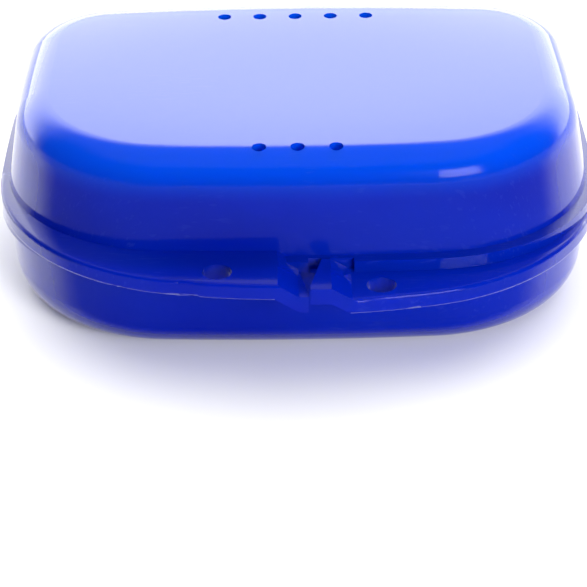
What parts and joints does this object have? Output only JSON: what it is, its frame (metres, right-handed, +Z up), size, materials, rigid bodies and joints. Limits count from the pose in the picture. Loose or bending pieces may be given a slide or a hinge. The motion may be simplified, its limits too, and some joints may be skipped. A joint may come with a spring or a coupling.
{
  "type": "mouthguard with case",
  "caption": "Hinged rounded-rectangle carrying case in translucent plastic, with vented lid and stepped front flanges, holding a lined U-shaped mouthguard.",
  "frame": {"origin": "centre of the base shell's flat underside, on the plane midway between its sides", "axes": "+X to the right seen from the front, -Y towards the front flanges, +Y towards the hinge, +Z up through the lid"},
  "size_m": [0.0966, 0.083, 0.034],
  "materials": {
    "case_plastic": "polished, translucent deep blue",
    "hinge_steel": "drawn stainless wire",
    "guard_frame": "satin, firm",
    "guard_liner": "soft gel, slightly glossy",
    "bite_pad": "matt, dimpled"
  },
  "bodies": {
    "base": {"base_shell": "case_plastic", "hinge_pin_left": "hinge_steel", "hinge_pin_right": "hinge_steel"},
    "lid": {"lid_shell": "case_plastic"},
    "mouthguard": {"mouthguard_frame": "guard_frame", "mouthguard_liner": "guard_liner", "bite_pad_left": "bite_pad", "bite_pad_right": "bite_pad"}
  },
  "joints": [
    {"name": "lid_hinge", "type": "hinge", "parent": "base", "child": "lid", "pos_m": [0, 0.037, 0.0165], "axis": [-1, 0, 0], "range_deg": [0, 110]},
    {"name": "mouthguard_lift", "type": "slide", "parent": "base", "child": "mouthguard", "axis": [0, 0, 1], "range_m": [0, 0.007]}
  ]
}
